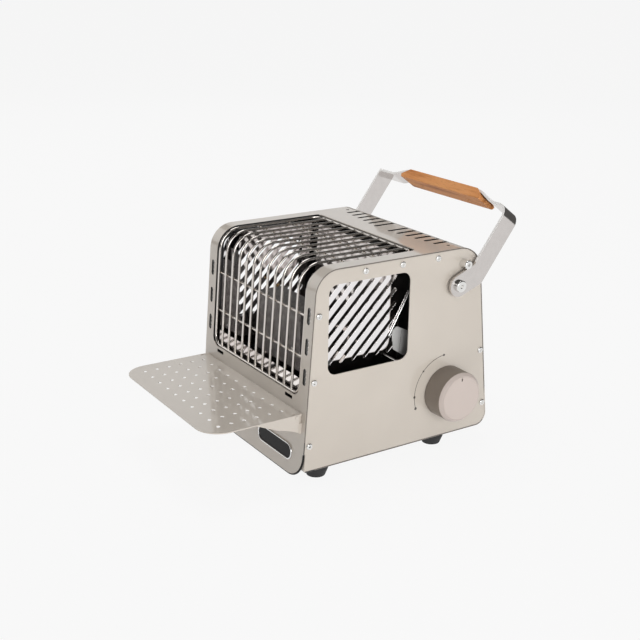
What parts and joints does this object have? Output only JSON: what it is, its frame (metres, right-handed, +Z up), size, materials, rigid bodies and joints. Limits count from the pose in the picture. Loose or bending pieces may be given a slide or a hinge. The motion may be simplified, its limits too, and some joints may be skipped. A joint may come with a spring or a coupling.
{
  "type": "portable gas camping heater",
  "caption": "Portable gas camping heater: leaning sheet-metal case with a wire grille over the front and top, a fold-down tray, a swing handle with a wooden grip, and a side gas knob.",
  "frame": {"origin": "on the ground, midway between the four rubber feet", "axes": "+Z up; -Y is the front, where the grille and the tray are; +X is the side with the gas knob"},
  "size_m": [0.2786, 0.4118, 0.2964],
  "materials": {
    "case_enamel": "gloss",
    "tray_enamel": "satin",
    "seal_black": "matt",
    "wire_chrome": "polished",
    "mirror_steel": "polished",
    "chamber_steel": "bright",
    "galvanised": "satin",
    "burner_iron": "rough",
    "burner_ceramic": "matt",
    "gas_brass": "satin",
    "regulator_alloy": "cast",
    "screw_steel": "polished",
    "strap_steel": "polished",
    "grip_wood": "varnished",
    "knob_plastic": "semi-gloss",
    "knob_face": "satin",
    "black_plastic": "satin",
    "white_ceramic": "glazed",
    "badge_chrome": "polished",
    "badge_dark": "gloss",
    "foot_rubber": "matt"
  },
  "bodies": {
    "case": {"upper_shell": "case_enamel", "lower_shell": "case_enamel", "side_panel_right": "case_enamel", "side_panel_left": "case_enamel", "panel_screws": "screw_steel", "skirt_seal": "seal_black", "louvre_screens": "galvanised", "grille_bars": "wire_chrome", "grille_frame": "wire_chrome", "grille_cross_wires": "wire_chrome", "guard_plate_right": "mirror_steel", "guard_plate_left": "mirror_steel", "guard_standoffs": "screw_steel", "reflector": "chamber_steel", "lower_reflector": "chamber_steel", "heat_shield": "galvanised", "burner_body": "burner_iron", "burner_plaque": "burner_ceramic", "burner_mesh": "burner_iron", "burner_brackets": "galvanised", "mixing_tube": "galvanised", "gas_jet": "gas_brass", "regulator_body": "regulator_alloy", "regulator_bracket": "galvanised", "gas_pipe": "gas_brass", "piezo_unit": "black_plastic", "igniter_electrode": "white_ceramic", "sensor_bracket": "chamber_steel", "thermocouple": "screw_steel", "tilt_switch": "black_plastic", "cartridge_rails": "galvanised", "badge_rim": "badge_chrome", "badge_plate": "badge_dark", "tray_hinge_ears": "tray_enamel", "tray_hinge_pins": "tray_enamel", "tray_stop_pads": "tray_enamel", "pivot_bolts": "screw_steel", "pivot_spacers": "screw_steel", "stop_pins": "screw_steel", "handle_nuts": "screw_steel", "feet": "foot_rubber", "foot_screws": "screw_steel", "door_hinge_leaf": "case_enamel", "door_hinge_pins": "screw_steel", "door_magnet": "black_plastic"},
    "tray": {"tray": "tray_enamel"},
    "handle": {"handle_strap": "strap_steel", "grip": "grip_wood", "grip_screws": "screw_steel"},
    "knob": {"knob": "knob_plastic", "knob_cap": "knob_face", "valve_spindle": "gas_brass"},
    "door": {"rear_door": "case_enamel", "door_pull": "screw_steel"}
  },
  "joints": [
    {"name": "tray_fold", "type": "hinge", "parent": "case", "child": "tray", "pos_m": [0, -0.11436, 0.079], "axis": [-1, 0, 0], "range_deg": [0, 86]},
    {"name": "handle_swing", "type": "hinge", "parent": "case", "child": "handle", "pos_m": [0, 0.094, 0.2012], "axis": [-1, 0, 0], "range_deg": [0, 97]},
    {"name": "knob_turn", "type": "hinge", "parent": "case", "child": "knob", "pos_m": [0.13, 0.087, 0.0716], "axis": [1, 0, 0], "range_deg": [0, 105]},
    {"name": "door_open", "type": "hinge", "parent": "case", "child": "door", "pos_m": [0, 0.15858, 0.023], "axis": [-1, 0, 0], "range_deg": [0, 95]}
  ]
}
